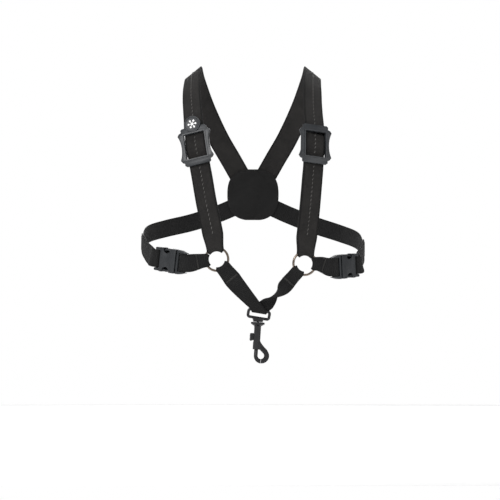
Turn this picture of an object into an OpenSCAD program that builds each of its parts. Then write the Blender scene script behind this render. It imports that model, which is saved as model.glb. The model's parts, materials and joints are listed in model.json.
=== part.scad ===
// A saxophone shoulder harness, shaped as it lies on the wearer's chest and back.
// Millimetres, +Z up, -Y towards the front. "Left" and "right" are as seen from the front.
// The origin is between the two places where the shoulders carry the harness.
// Every strap is laid on a smooth round body, so its path needs only a few points.

/* [Wearer] */
// Half the width of the chest under the arms
chest_half_w = 131; // [127:1:134]
// Half the depth of the chest, front to back
chest_half_d = 110; // [107:1:113]

/* [Webbing] */
// Width of the shoulder webbing
wide_w = 25; // [24:0.5:25.5]
// Thickness of the shoulder webbing
wide_t = 1.8; // [1.4:0.1:1.8]
// Width of the side and front webbing
narrow_w = 21; // [20:0.5:21.5]
// Thickness of the side and front webbing
narrow_t = 1.4; // [1.2:0.1:1.4]

/* [Rings] */
// Radius of each ring, to the middle of its wire
ring_r = 13.8; // [13.4:0.1:14.2]
// Radius of the ring's wire
wire_r = 1.4; // [1.2:0.1:1.5]

/* [Sliders] */
// Distance along the strap from the left ring to its slider
left_slider_at = 138; // [135:1:141]
// Distance along the strap from the right ring to its slider
right_slider_at = 143; // [140:1:146]
// Width of a slider between its waists
slider_w = 34.4; // [34:0.2:35]
// Length of a slider
slider_l = 48; // [47:0.5:49]

/* [Buckles] */
// Width of a side-release buckle
buckle_w = 29; // [28:0.5:30]
// Length of the buckle's socket without its strap bar
socket_l = 24; // [23:0.5:25]

/* [Snap hook] */
// Lean of the eye, its right end lower
eye_lean = 9.4; // [6:0.2:10]
// Lean of the hook, its lower end to the left
hook_lean = 3.8; // [2:0.2:6]
// Diameter of the hook's shank
shank_d = 8.4; // [8.2:0.1:8.6]
// Travel of the thumb bolt
bolt_travel = 7; // [6:0.5:7]

/* [Hidden] */

// The body: powers and heights of the rounded form that carries the straps.
side_e = 3;
depth_e = 2.4;
height_e = 2.2;
chest_z = -225;
body_h = 240;

cols = 4;
gap = 0.3;
ring_h = 3.4;
wide_pinch = 0.81;
narrow_pinch = 0.78;
front_left_pinch = 0.86;
front_right_pinch = 0.74;
fold_reach = 1;

webbing = [0.16, 0.15, 0.15];
black = [0.1, 0.1, 0.11];
steel = [0.75, 0.74, 0.72];
thread = [0.24, 0.23, 0.22];

// ---------- small functions ----------
function unit(v) = v / norm(v);
function mix(a, b, f) = a + (b - a) * f;
function ease(f) = let (c = max(0, min(1, f))) c * c * (3 - 2 * c);
function power(v, e) = pow(abs(v), e);
function last(v) = v[len(v) - 1];
function oval(c, rx, ry, from, to, n) =
    [for (i = [0:n]) let (a = mix(from, to, i / n)) [c.x + rx * cos(a), c.y + ry * sin(a)]];
function arc(c, r, from, to, n) =
    [for (i = [0:n]) let (a = mix(from, to, i / n)) [c.x + r * cos(a), c.y + r * sin(a)]];

// ---------- the body that carries the straps ----------
function side_share(x) = power(x / chest_half_w, side_e);
function depth_share(y) = power(y / chest_half_d, depth_e);
function height_share(z) = power((z - chest_z) / body_h, height_e);
function skin_y(x, z) = chest_half_d * pow(1 - side_share(x) - height_share(z), 1 / depth_e);
function front(x, z) = [x, -skin_y(x, z), z];
function back(x, z) = [x, skin_y(x, z), z];
function crest(x, y) =
    [x, y, chest_z + body_h * pow(1 - side_share(x) - depth_share(y), 1 / height_e)];
function flank(side, y, z) =
    [side * chest_half_w * pow(1 - depth_share(y) - height_share(z), 1 / side_e), y, z];
function lean(v, half, e) = e * sign(v) * power(v, e - 1) / pow(half, e);
function outward(p) = unit([
    lean(p.x, chest_half_w, side_e),
    lean(p.y, chest_half_d, depth_e),
    lean(p.z - chest_z, body_h, height_e)
]);

// ---------- smooth tracks through a few points ----------
function knot_way(p, i) =
    let (a = max(i - 1, 0), b = min(i + 1, len(p) - 1))
    (p[b] - p[a]) / (norm(p[b] - p[i]) + norm(p[i] - p[a]));
function hermite(a, va, b, vb, f) =
    a * (1 + 2 * f) * (1 - f) * (1 - f) + va * f * (1 - f) * (1 - f)
    + b * f * f * (3 - 2 * f) + vb * f * f * (f - 1);
function smooth_path(p, n) = concat(
    [for (i = [0:len(p) - 2]) for (k = [0:n - 1])
        let (d = norm(p[i + 1] - p[i]))
        hermite(p[i], knot_way(p, i) * d, p[i + 1], knot_way(p, i + 1) * d, k / n)],
    [last(p)]);
function lengths(p) = [
    for (i = 0, c = 0; i < len(p);
        c = c + (i < len(p) - 1 ? norm(p[i + 1] - p[i]) : 0), i = i + 1) c];
// A track is its points, their distances from its start, and the way up at each end.
function track(points, n0, n1) =
    let (p = smooth_path(points, 8)) [p, lengths(p), n0, n1];
function run(tr) = last(tr[1]);
function spot(tr, s) =
    let (p = tr[0], c = tr[1], n = len(p))
    s <= 0 ? p[0] + unit(p[1] - p[0]) * s
    : s >= c[n - 1] ? p[n - 1] + unit(p[n - 1] - p[n - 2]) * (s - c[n - 1])
    : let (i = max([for (k = [0:n - 2]) if (c[k] <= s) k]))
        mix(p[i], p[i + 1], (s - c[i]) / (c[i + 1] - c[i]));
// Where a track is at s: the point, the way across, the way along and the way up.
function frame_on(tr, s) =
    let (
        p = spot(tr, s),
        t = unit(spot(tr, s + 1) - spot(tr, s - 1)),
        n0 = mix(tr[2], outward(p), ease((s - 18) / 30)),
        n1 = mix(tr[3], n0, ease((run(tr) - s - 14) / 26)),
        w = unit(cross(t, n1))
    )
    [p, w, t, cross(w, t)];

// ---------- cloth ----------
// One row of points across a strap. Near a ring the row narrows and bends round the ring's wire.
function row(tr, s, h, half, pinch = 0, reach = 16, n = cols) =
    let (f = frame_on(tr, s), bend = pinch > 0 ? 1 - ease((s - ring_r - 2) / reach) : 0)
    [for (j = [0:n])
        let (
            w = mix(-half, half, j / n) * mix(1, pinch, bend),
            a = asin(w / max(ring_r, s)),
            pulled = s * (1 - cos(a)) * bend,
            across = pinch > 0 ? min(s / ring_r, 1) * w : w
        )
        f[0] + across * f[1] - pulled * f[2] + h * f[3]];
function rows(tr, profile, half, pinch = 0, reach = 16, n = cols) =
    [for (q = profile) row(tr, q[0], q[1], half, pinch, reach, n)];

// A closed sheet of thickness t about a grid of points.
function grid_way(g, k, j) =
    let (
        n = len(g) - 1, m = len(g[0]) - 1,
        along = g[min(k + 1, n)][j] - g[max(k - 1, 0)][j],
        across = g[k][min(j + 1, m)] - g[k][max(j - 1, 0)]
    )
    unit(cross(along, across));
module cloth(g, t) {
    n = len(g);
    m = len(g[0]);
    top = [for (k = [0:n - 1]) for (j = [0:m - 1]) g[k][j] + grid_way(g, k, j) * t / 2];
    low = [for (k = [0:n - 1]) for (j = [0:m - 1]) g[k][j] - grid_way(g, k, j) * t / 2];
    o = n * m;
    faces = concat(
        [for (k = [0:n - 2]) for (j = [0:m - 2])
            each let (a = k * m + j, b = a + 1, c = a + m + 1, d = a + m)
                [[a, b, c], [a, c, d], [a + o, c + o, b + o], [a + o, d + o, c + o]]],
        [for (k = [0:n - 2])
            each let (a = k * m, d = a + m, b = a + m - 1, c = d + m - 1)
                [[a, d, d + o], [a, d + o, a + o], [b, c + o, c], [b, b + o, c + o]]],
        [for (j = [0:m - 2])
            each let (a = j, b = j + 1, c = (n - 1) * m + j, d = c + 1)
                [[a, a + o, b + o], [a, b + o, b], [c, d + o, c + o], [c, d, d + o]]]);
    polyhedron(concat(top, low), faces);
}
module on(f) {
    multmatrix([
        [f[1].x, f[2].x, f[3].x, f[0].x],
        [f[1].y, f[2].y, f[3].y, f[0].y],
        [f[1].z, f[2].z, f[3].z, f[0].z]
    ]) children();
}
// A flat plate with round corners
module plate(l, w, r, t) {
    linear_extrude(t) {
        square([l - 2 * r, w], center = true);
        square([l, w - 2 * r], center = true);
        for (i = [-1, 1]) for (k = [-1, 1])
            translate([i * (l / 2 - r), k * (w / 2 - r)]) circle(r, $fn = 32);
    }
}

// ---------- rings ----------
left_ring_foot = front(-43, -227);
right_ring_foot = front(61, -232);
// The way up the chest and the way across it, from a ring's foot
function ring_up(p) = unit([0, 0, 1] - outward(p) * outward(p).z);
function ring_way(p, turn) =
    let (u = ring_up(p)) u * cos(turn) + cross(u, outward(p)) * sin(turn);
module ring(p) {
    color(steel)
        on([p + outward(p) * ring_h, cross(ring_up(p), outward(p)), ring_up(p), outward(p)])
            rotate_extrude($fn = 96) translate([ring_r, 0]) circle(wire_r, $fn = 24);
}

// ---------- shoulder straps ----------
function straight(p, way, step = 14) = [for (i = [0:2]) p + way * step * i];
left_shoulder_track = track(concat(
    straight(left_ring_foot, ring_way(left_ring_foot, -9)),
    [front(-51.5, -178), front(-56, -156), front(-61, -125), front(-66, -93), front(-70.2, -62),
        front(-73, -36), front(-73, -16), crest(-71, 0), back(-68, -16), back(-58, -45),
        back(-42, -80), back(-26, -108), back(-13, -131)]),
    outward(left_ring_foot), outward(back(-13, -131)));
right_shoulder_track = track(concat(
    straight(right_ring_foot, ring_way(right_ring_foot, 5)),
    [front(65.5, -184), front(68.2, -156), front(70.6, -122), front(71.4, -90), front(71.6, -62),
        front(71.2, -38), front(71, -17), crest(71, 0), back(68, -16), back(58, -45),
        back(42, -80), back(26, -108), back(13, -131)]),
    outward(right_ring_foot), outward(back(13, -131)));

// Heights of the webbing at the slider: through it, back behind it, and the sewn tail
through_h = 5.2;
behind_h = 3.15;
tail_h = 1.1;
centre_bar_h = 3.5;
loop_r = 2.4;
patched_h = 2.4;
// Path of the webbing from the back, through the slider, round the ring, and up to the slider
function shoulder_profile(tr, at) = let (
        wrap = wire_r + gap + wide_t / 2,
        over = smooth_path([[-58, 1.2], [-40, 2.4], [-26, 4.8], [-16, 5.1], [-8, 7.0], [0, 7.8],
            [8, 7.0], [16, 5.1], [26, 4.9], [40, 3.9], [60, 3.3]], 3),
        under = smooth_path([[60, 1.1], [40, 1.5], [26, 3.0], [15, behind_h], [7, 4.9],
            [2.5, centre_bar_h + loop_r]], 3)
    )
    concat(
        [for (i = [0:28]) [mix(run(tr), at + 66, i / 28), mix(patched_h, 1.2, ease((i - 3) / 3))]],
        [for (q = over) [at - q.x, q.y]],
        [for (i = [1:4]) [mix(at - 60, 34, i / 4), 3.3]],
        [[29, 3.3], [25, 3.8], [21, 4.8]],
        oval([ring_r, ring_h], wrap + fold_reach, wrap, 90, 270, 8),
        [[20, 1.0], [26, 1.0], [34, 1.1]],
        [for (i = [1:4]) [mix(34, at - 66, i / 4), 1.1]],
        [for (q = under) [at - q.x, q.y]],
        [for (q = arc([-2.5, centre_bar_h], loop_r, 90, 270, 6)) [at - q.x, q.y]],
        [for (q = [4, 13, 14.5, 16, 18]) [at - q, tail_h]]);
module shoulder_strap(tr, at) {
    color(webbing) cloth(rows(tr, shoulder_profile(tr, at), wide_w / 2, wide_pinch), wide_t);
}

// ---------- sliders ----------
window_w = 25.8;
window_l = 31;
slider_low = 6.35;
slider_top = 9.2;
// Half of the outline, from the top middle round to the bottom middle, with two pointed ears
function slider_half() =
    let (w = slider_w / 2, l = slider_l / 2)
    concat(
        [[w - 3, l], [w - 1, l - 1.6], [w - 1.2, l - 4.6], [w + 1.6, l - 5.8], [w + 3.4, l - 8.6]],
        [for (i = [1:7]) let (f = i / 8)
            [w + 3.4 * power(2 * f - 1, 2.2), mix(l - 8.6, 8.6 - l, f)]],
        [[w + 3.4, 8.6 - l], [w + 1.6, 5.8 - l], [w - 1.2, 4.6 - l], [w - 1, 1.6 - l], [w - 3, -l]]);
module slider_outline() {
    half = slider_half();
    polygon(concat(half, [for (i = [len(half) - 1:-1:0]) [-half[i].x, half[i].y]]));
}
module slider_body() {
    // the arched frame round the window
    intersection() {
        linear_extrude(14) difference() {
            slider_outline();
            square([window_w, window_l], center = true);
        }
        rotate([90, 0, 90]) linear_extrude(60, center = true)
            polygon(concat([[-slider_l, slider_low], [slider_l, slider_low]],
                [for (i = [-6:6]) let (y = -i / 6 * slider_l / 2)
                    [y, slider_top + 1.2 * (1 - power(i / 6, 2))]]));
    }
    // the lower cheeks and the bar that the sewn end goes round
    for (side = [-1, 1]) translate([side * (window_w / 2 + 1.9), 0, centre_bar_h - 1.5])
        linear_extrude(slider_low - centre_bar_h + 1.9) square([3.2, 20], center = true);
    rotate([0, 90, 0]) linear_extrude(window_w + 1, center = true) translate([-centre_bar_h, 0]) {
        square([2.6, 5 - 2.6], center = true);
        for (i = [-1, 1]) translate([0, i * 1.2]) circle(1.3, $fn = 24);
    }
}
module slider(tr, at) {
    color(black) on(frame_on(tr, at)) slider_body();
}
badge_r = 10;
badge_at = 27;
badge_t = 4.55;
badge_face = 3.75;
module badge() {
    color(black) on(frame_on(left_shoulder_track, left_slider_at)) translate([0, badge_at, slider_low])
        difference() {
            cylinder(r = badge_r, h = badge_t, $fn = 64);
            translate([0, 0, badge_face]) cylinder(r = badge_r - 1.2, h = 2, $fn = 64);
            // seat over the slider's top bar
            translate([-badge_r, -badge_r - 1, -1])
                cube([2 * badge_r, badge_r + 1 + slider_l / 2 - badge_at + 0.05, badge_face + 0.8]);
        }
}
// A plain rosette of petals
module badge_motif() {
    color("white") on(frame_on(left_shoulder_track, left_slider_at))
        translate([0, badge_at, slider_low + badge_face + 0.05]) {
            cylinder(r = 1.5, h = 0.5, $fn = 24);
            for (a = [0:60:300]) rotate(a) {
                translate([4.4, 0]) cylinder(r = 1.2, h = 0.5, $fn = 24);
                translate([1, -0.3, 0]) cube([3, 0.6, 0.5]);
            }
        }
}

// ---------- buckles ----------
// A buckle lies on the body at its middle, this far past its mouth.
buckle_half = 8.5;
// A buckle's frame at its mouth: foot point, way across, way along to the socket, way up
function buckle_frame(side, x, z, climb) =
    let (
        p = front(x, z),
        n = outward(p),
        level = side * unit(cross(n, [0, 0, -1])),
        t = level * cos(climb) + cross(n, level) * sin(climb) * side
    )
    [p - t * buckle_half, cross(t, n), t, n];
left_buckle = buckle_frame(-1, -94.6, -229, 8);
right_buckle = buckle_frame(1, 106, -235.5, 4);
buckle_mid = 4.8;
plug_bar_r = 1.3;
plug_bar_at = 6.3;
plug_end = 14;
latch_pivot = [6, 1.6];
pivot_r = 1.4;
// The plug's outline: full width at its mouth, in to the webbing's width at its other end
module plug_outline() {
    w = buckle_w / 2;
    half = [[w, 0], [w, -3.6], [w - 0.3, -6], [w - 1.1, -8.6], [w - 1.9, -11], [w - 2.2, -12.8],
        [w - 2.9, -plug_end]];
    polygon(concat(half, [for (i = [len(half) - 1:-1:0]) [-half[i].x, half[i].y]]));
}
module buckle_plug(f) {
    color(black) on(f) {
        // rails, wall at the mouth and the strap bar
        difference() {
            translate([0, 0, 1.8]) linear_extrude(5.9) plug_outline();
            translate([-11.3, -plug_end - 1, 0]) cube([22.6, plug_end - 1.6, 12]);
        }
        translate([-12, -12.4, buckle_mid - plug_bar_r]) cube([24, 12.4 - plug_bar_at, 2 * plug_bar_r]);
        translate([-12, -plug_bar_at, buckle_mid]) rotate([0, 90, 0])
            cylinder(r = plug_bar_r, h = 24, $fn = 24);
        // root block in the socket, with the latch seats, and the guide pin
        difference() {
            translate([-9.4, -0.5, 2.6]) cube([18.8, 3.5, 4.4]);
            for (side = [-1, 1]) translate([side * latch_pivot.x, latch_pivot.y, 0]) {
                cylinder(r = pivot_r + 0.05, h = 12, $fn = 32);
                translate([-1.5, 0, 0]) cube([3, 4, 12]);
            }
        }
        translate([-1.5, 2.5, 3]) cube([3, 14.5, 3.6]);
        translate([0, 17, 3]) cylinder(r = 1.5, h = 3.6, $fn = 24);
    }
}
// A springy arm with its catch and finger pad, in the plane of the buckle
module latch(f, side) {
    color(black) on(f) mirror([side < 0 ? 1 : 0, 0, 0]) translate([0, 0, 2.9]) {
        translate([latch_pivot.x, latch_pivot.y]) cylinder(r = pivot_r, h = 3.8, $fn = 32);
        linear_extrude(3.8) polygon([[5.3, 2], [6.7, 2], [8.9, 6], [10.6, 8.9], [12.7, 9.9], [13.9, 11.8],
            [14.2, 14.6], [13.8, 17.2], [12.6, 19], [10.4, 19.8], [10, 18.5], [11.3, 17.3], [11.9, 14.6],
            [11.5, 12.4], [10.3, 11.1], [8.6, 9.6], [6.9, 6.4]]);
    }
}
seam = 1.2;
socket_low = 0.8;
socket_top = 8.8;
socket_bar_at = 29.6;
socket_bar_r = 1.5;
module buckle_socket(f) {
    color(black) on(f) difference() {
        union() {
            translate([0, (socket_l + seam) / 2, socket_low])
                plate(buckle_w, socket_l - seam, 1.2, socket_top - socket_low);
            for (side = [-1, 1]) translate([side * 12.4, socket_l + 2.2, socket_low + 1])
                plate(3.2, 11, 1.4, 6);
            translate([-12, socket_bar_at, buckle_mid]) rotate([0, 90, 0])
                cylinder(r = socket_bar_r, h = 24, $fn = 24);
        }
        // chamber for the plug, finger windows in both edges
        translate([-11, -1, 2.1]) cube([22, 22.5, 5.4]);
        for (side = [-1, 1]) {
            translate([side * 13.6, 14.4, 3]) cylinder(r = 5.4, h = 20, $fn = 48);
            translate([side * 16.6, 14.4, -1]) cylinder(r = 5, h = 20, $fn = 48);
            translate([side * 12 - 3, 8.6, 2.1]) cube([6, 11.6, 5.4]);
        }
    }
}

// ---------- side straps ----------
function side_track(ring_foot, turn, buckle) = track(concat(
    straight(ring_foot, ring_way(ring_foot, turn), 9.5),
    [for (i = [-2:0]) buckle[0] + buckle[2] * 7 * i]),
    outward(ring_foot), buckle[3]);
left_side_track = side_track(left_ring_foot, -97, left_buckle);
right_side_track = side_track(right_ring_foot, 93, right_buckle);
narrow_wrap = wire_r + gap + narrow_t / 2;
bar_wrap = plug_bar_r + gap + narrow_t / 2;
butt_at = 26;
function side_profile(tr) = let (l = run(tr))
    concat(
        [[butt_at, 1.0], [20, 1.0]],
        oval([ring_r, ring_h], narrow_wrap + fold_reach, narrow_wrap, 270, 90, 8),
        [[18, 5.2], [22, 4.2], [24, 3.8], [l - 21, 3.8], [l - 17, 5.5], [l - 12.6, buckle_mid + bar_wrap]],
        arc([l - plug_bar_at, buckle_mid], bar_wrap, 90, -90, 8),
        [[l - 13, 1.9], [l - 19, 1.3], [butt_at + 0.4, 1.0]]);
module side_strap(tr) {
    color(webbing) cloth(rows(tr, side_profile(tr), narrow_w / 2, narrow_pinch), narrow_t);
}

// ---------- rear straps ----------
function rear_track(b, points, n1) = track(concat(
    [b[0] + b[2] * socket_bar_at, b[0] + b[2] * (socket_bar_at + 8)], points), b[3], n1);
left_rear_track = rear_track(left_buckle,
    [flank(-1, -48, -219), flank(-1, -22, -211), flank(-1, 12, -203), flank(-1, 48, -196), back(-105, -190),
        back(-72, -182), back(-42, -172), back(-16, -161)], outward(back(-16, -161)));
right_rear_track = rear_track(right_buckle,
    [flank(1, -40, -227), flank(1, -16, -221), flank(1, 14, -213), flank(1, 48, -204), back(105, -196),
        back(72, -185), back(42, -173), back(16, -161)], outward(back(16, -161)));
socket_wrap = socket_bar_r + gap + narrow_t / 2;
tail_l = 84;
function rear_profile(tr) = let (l = run(tr))
    concat(
        [for (i = [0:8]) [mix(tail_l, 22, i / 8), 2.9]],
        [[16, 3.4], [10, 5.0], [5, 6.8]],
        arc([0, buckle_mid], socket_wrap, 90, 270, 8),
        [[5, 2.2], [12, 1.5], [20, 1.1]],
        [for (i = [1:22]) [mix(22, l, i / 22), mix(1.1, 2.25, ease((i - 15.5) / 4))]]);
module rear_strap(tr) {
    color(webbing) cloth(rows(tr, rear_profile(tr), narrow_w / 2), narrow_t);
}

// ---------- back patch ----------
patch_z = -149;
patch_half_w = 31;
patch_half_h = 31;
patch_t = 1.2;
function patch_half_width(v) = patch_half_w * pow(1 - power(v, 2.6), 1 / 2.6);
module patch(h) {
    color(webbing) cloth([for (i = [-8:8])
        let (v = 0.985 * sin(i * 90 / 8), z = patch_z + v * patch_half_h, w = patch_half_width(v))
        [for (j = [0:8]) let (p = back(mix(w, -w, j / 8), z)) p + outward(p) * h]], patch_t);
}

// ---------- front strap and hook eye ----------
eye_mid = [6.9, -114, -292.9];
eye_rod = 1.7;
eye_half_h = 4.5;
eye_half_w = 12.7;
eye_corner = 2.4;
eye_x = [cos(eye_lean), 0, -sin(eye_lean)];
eye_z = [sin(eye_lean), 0, cos(eye_lean)];
rod_mid = eye_mid + eye_z * eye_half_h;
rod_wrap = eye_rod + gap + 0.1 + narrow_t / 2;
rod_half = 8.6;
rod_flare = 1.2;
rod_skew = 0.9;
left_front_way = ring_way(left_ring_foot, 142);
right_front_way = ring_way(right_ring_foot, -139);
left_front_track = track(straight(left_ring_foot, left_front_way),
    outward(left_ring_foot), outward(left_ring_foot));
right_front_track = track(straight(right_ring_foot, right_front_way),
    outward(right_ring_foot), outward(right_ring_foot));
// Loop of the front strap round a ring, from its sewn tail to the main length
loop_profile = concat([[32, 1.0], [26, 1.0], [20, 1.0]],
    oval([ring_r, ring_h], narrow_wrap + fold_reach, narrow_wrap, 270, 90, 8),
    [[18, 5.2], [22, 4.0], [27, 3.3], [32, 3.2]]);
function flip(v) = [for (i = [len(v) - 1:-1:0]) v[i]];
front_cols = 8;
function straight_row(p, across) = [for (j = [0:front_cols]) p + across * mix(-1, 1, j / front_cols)];
// A row rolled to an arc of half angle c about its middle
function curled_row(p, flat, up, c) = let (r = 1 / (c * PI / 180))
    [for (j = [0:front_cols]) let (a = c * mix(-1, 1, j / front_cols))
        p + flat * r * sin(a) + up * r * ((1 + cos(c)) / 2 - cos(a))];
// Rows round the eye's rod, from its front, under it, to its back
rod_rows = [for (i = [0:8]) let (a = i / 8 * 180)
    straight_row(rod_mid - eye_x * rod_skew * cos(a)
        - rod_wrap * (cos(a) * [0, 1, 0] + sin(a) * eye_z),
        -eye_x * (rod_half + rod_flare * power(cos(a), 4)))];
function half_across(r) = (last(r) - r[0]) / 2;
function middle(r) = (last(r) + r[0]) / 2;
left_loop = rows(left_front_track, loop_profile, narrow_w / 2, front_left_pinch, 16, front_cols);
right_loop = rows(right_front_track, loop_profile, narrow_w / 2, front_right_pinch, 40, front_cols);
// The lower stretch in front: from the left loop down to the rod
function down_rows(from, to) = let (
        a = middle(from), b = middle(to), d = norm(b - a),
        wa = half_across(from), wb = half_across(to)
    )
    [for (i = [1:7]) let (f = i / 8)
        straight_row(hermite(a, left_front_way * d, b, b - a, f), mix(wa, wb, f * f))];
// The stretch behind: from the rod up to the right loop, with a half twist
twist_from = 0.18;
twist_to = 1;
curl = 62;
function up_rows(from, to) = let (
        a = middle(from), b = middle(to), d = norm(b - a), t = unit(b - a),
        wa = half_across(from), wb = half_across(to)
    )
    [for (i = [1:23]) let (
            f = i / 24,
            part = max(0, min(1, (f - twist_from) / (twist_to - twist_from))),
            turn = 180 * (part + ease(part)) / 2,
            flat = mix(wa, -wb, ease(f / 0.34)),
            up = cross(t, flat)
        )
        curled_row(hermite(a, b - a, b, -right_front_way * d, f), flat * cos(turn) + up * sin(turn),
            up * cos(turn) - flat * sin(turn), 1 + curl * ease(f / 0.55) * ease((1 - f) / 0.45))];
front_rows = let (right_in = [for (r = flip(right_loop)) flip(r)])
    concat(left_loop, down_rows(last(left_loop), rod_rows[0]), rod_rows,
        up_rows(last(rod_rows), right_in[0]), right_in);
module front_strap() {
    color(webbing) cloth(front_rows, narrow_t);
}
module at_eye() {
    translate(eye_mid) rotate([0, eye_lean, 0]) children();
}
module quarter_rod(x, z, a) {
    translate([x, 0, z]) rotate([90, 0, 0]) rotate([0, 0, a])
        rotate_extrude(angle = 90, $fn = 48) translate([eye_corner, 0]) circle(eye_rod, $fn = 24);
}
pin_r = 1.5;
// The round-cornered frame of the eye
module eye_frame(sx, sz) {
    at_eye() {
        for (z = [-eye_half_h, eye_half_h]) translate([-sx, 0, z]) rotate([0, 90, 0])
            cylinder(r = eye_rod, h = 2 * sx, $fn = 24);
        for (x = [-eye_half_w, eye_half_w]) translate([x, 0, -sz])
            cylinder(r = eye_rod, h = 2 * sz, $fn = 24);
        quarter_rod(sx, sz, 0);
        quarter_rod(-sx, sz, 90);
        quarter_rod(-sx, -sz, 180);
        quarter_rod(sx, -sz, 270);
    }
}
module hook_eye() {
    sx = eye_half_w - eye_corner;
    sz = eye_half_h - eye_corner;
    color(black) difference() {
        union() {
            eye_frame(sx, sz);
            at_hook() intersection() {
                translate([0, 0, collar_h + 0.35]) cylinder(r1 = 5.6, r2 = 7.4, h = 4.7, $fn = 64);
                translate([0, 0, 5]) cube([15, 8.6, 12], center = true);
            }
        }
        // the base is bored for the pin, with a pocket for the pin's head that is open behind
        at_hook() {
            cylinder(r = pin_r + 0.3, h = pin_head_z + 0.5, $fn = 32);
            translate([-3.2, -3, pin_head_z - 0.3]) cube([6.4, 20, pin_head_t + 0.6]);
        }
    }
}

// ---------- hook ----------
hook_top = [5.6, -114, -306.6];
collar_h = 4.3;
collar_r = 8.4;
pin_head_z = 6.45;
pin_head_t = 0.9;
bore_r = 2.6;
bolt_r = 2.3;
shank_end = -28.4;
bolt_top = -11.5;
bore_top = 1.2;
hole_mid = [6.3, -34.6];
tab_from = -18.8;
tab_to = -9.2;
tab_root_x = -2.4;
split_x = 6.3;
split_gap = 0.15;
module at_hook() {
    translate(hook_top) rotate([0, hook_lean, 0]) children();
}
module swivel_pin() {
    color(steel) at_hook() {
        translate([0, 0, 1.6]) cylinder(r = pin_r, h = pin_head_z - 1.6 + 0.2, $fn = 32);
        translate([0, 0, pin_head_z]) cylinder(r = 2.6, h = pin_head_t, $fn = 32);
    }
}
// Outer and inner lines of the hook's bend, in its own plane
bend_outer = concat([[1, -18], [4.2, -18], [5.6, -20.6], [9.2, -24.6], [13.2, -28.4]],
    arc([7, -35.7], 9.1, 40, -90, 14), [[split_x + split_gap, -44.8]]);
bend_inner = concat([[split_x + split_gap, -39.5]], arc([6.2, -35.7], 3.8, -84, 20, 8),
    [[9.4, -33.2], [4.4, -28.6], [3, -28.4], [3, -24]]);
module hook_body() {
    color(black) at_hook() difference() {
        union() {
            rotate_extrude($fn = 64) polygon([[0, -0.6], [shank_d / 2 - 0.2, -0.6],
                [collar_r - 1.6, 1], [collar_r, 2.2], [collar_r, 3.4], [collar_r - 0.8, collar_h],
                [0, collar_h]]);
            translate([0, 0, shank_end]) cylinder(d = shank_d, h = -shank_end + 0.5, $fn = 64);
            rotate([90, 0, 0]) linear_extrude(6.4, center = true) polygon(concat(bend_outer, bend_inner));
        }
        translate([0, 0, shank_end - 1]) cylinder(r = bore_r, h = bore_top - shank_end + 1, $fn = 48);
        translate([0, 0, 1.6]) cylinder(r = pin_r, h = 10, $fn = 32);
        // slot for the thumb tab
        translate([-10, -1.6, tab_from - 0.4]) cube([10, 3.2, tab_to - tab_from + bolt_travel + 0.8]);
    }
}
// The bolt: a rod with a thumb tab, and a curved end that closes the hook
module thumb_bolt() {
    color(black) at_hook() {
        translate([0, 0, -36]) cylinder(r = bolt_r, h = 36 + bolt_top, $fn = 48);
        // serrated thumb tab
        rotate([90, 0, 0]) linear_extrude(2.6, center = true) polygon(concat(
            [[-1, tab_from + 1.6], [-4.6, tab_from + 1.2], [-7.4, tab_from]],
            [for (i = [0:4]) each [[-8.9, tab_from + 1.4 + i * 1.7], [-8.2, tab_from + 2.3 + i * 1.7]]],
            [[-7.6, tab_to], [tab_root_x, tab_to], [tab_root_x, bolt_top - 0.3], [-1, bolt_top - 0.3]]));
        intersection() {
            rotate([90, 0, 0]) linear_extrude(6.4, center = true) polygon(concat(
                [[-bolt_r, -35.7]], arc([7, -35.7], 9.3, 180, 264, 10), [[split_x - split_gap, -44.9]],
                [[split_x - split_gap, -39.5]], arc([6.2, -35.7], 3.9, 262, 180, 8)));
            translate([-10, -bolt_r, -50]) cube([30, 2 * bolt_r, 15]);
        }
    }
}
// A helix of round wire between the bolt and the roof of its bore
spring_turns = 8;
spring_r = 1.75;
spring_wire = 0.3;
spring_low = bolt_top + 0.35;
spring_high = bore_top - 0.35;
module bolt_spring() {
    steps = spring_turns * 10;
    sides = 6;
    points = [for (i = [0:steps]) let (a = i * 36, z = mix(spring_low, spring_high, i / steps))
        for (k = [0:sides - 1]) let (b = k * 360 / sides)
            [(spring_r + spring_wire * cos(b)) * cos(a), (spring_r + spring_wire * cos(b)) * sin(a),
                z + spring_wire * sin(b)]];
    faces = concat(
        [for (i = [0:steps - 1]) for (k = [0:sides - 1])
            each let (a = i * sides + k, b = i * sides + (k + 1) % sides)
                [[a, a + sides, b + sides], [a, b + sides, b]]],
        [[for (k = [0:sides - 1]) k]],
        [[for (k = [sides - 1:-1:0]) steps * sides + k]]);
    color(steel) at_hook() polyhedron(points, faces);
}

// ---------- thread ----------
// A close zigzag tack across a strap: the strap's track, place, height and width
tack_t = 0.4;
module tack(tr, at, h, half, long = 3) {
    color(thread) cloth(rows(tr, [[at, h], [at + long / 2, h], [at + long, h]], half), tack_t);
}
narrow_top = narrow_t / 2 + tack_t / 2 + 0.08;
wide_top = wide_t / 2 + tack_t / 2 + 0.08;
module side_tack(tr, h) {
    tack(tr, 22.4, h + narrow_top, 8, 2);
}
// Sewn on the body side of the tail that goes round the slider's bar
module slider_tack(tr, at) {
    tack(tr, at - 16, tail_h - wide_top, 9);
}

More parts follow.
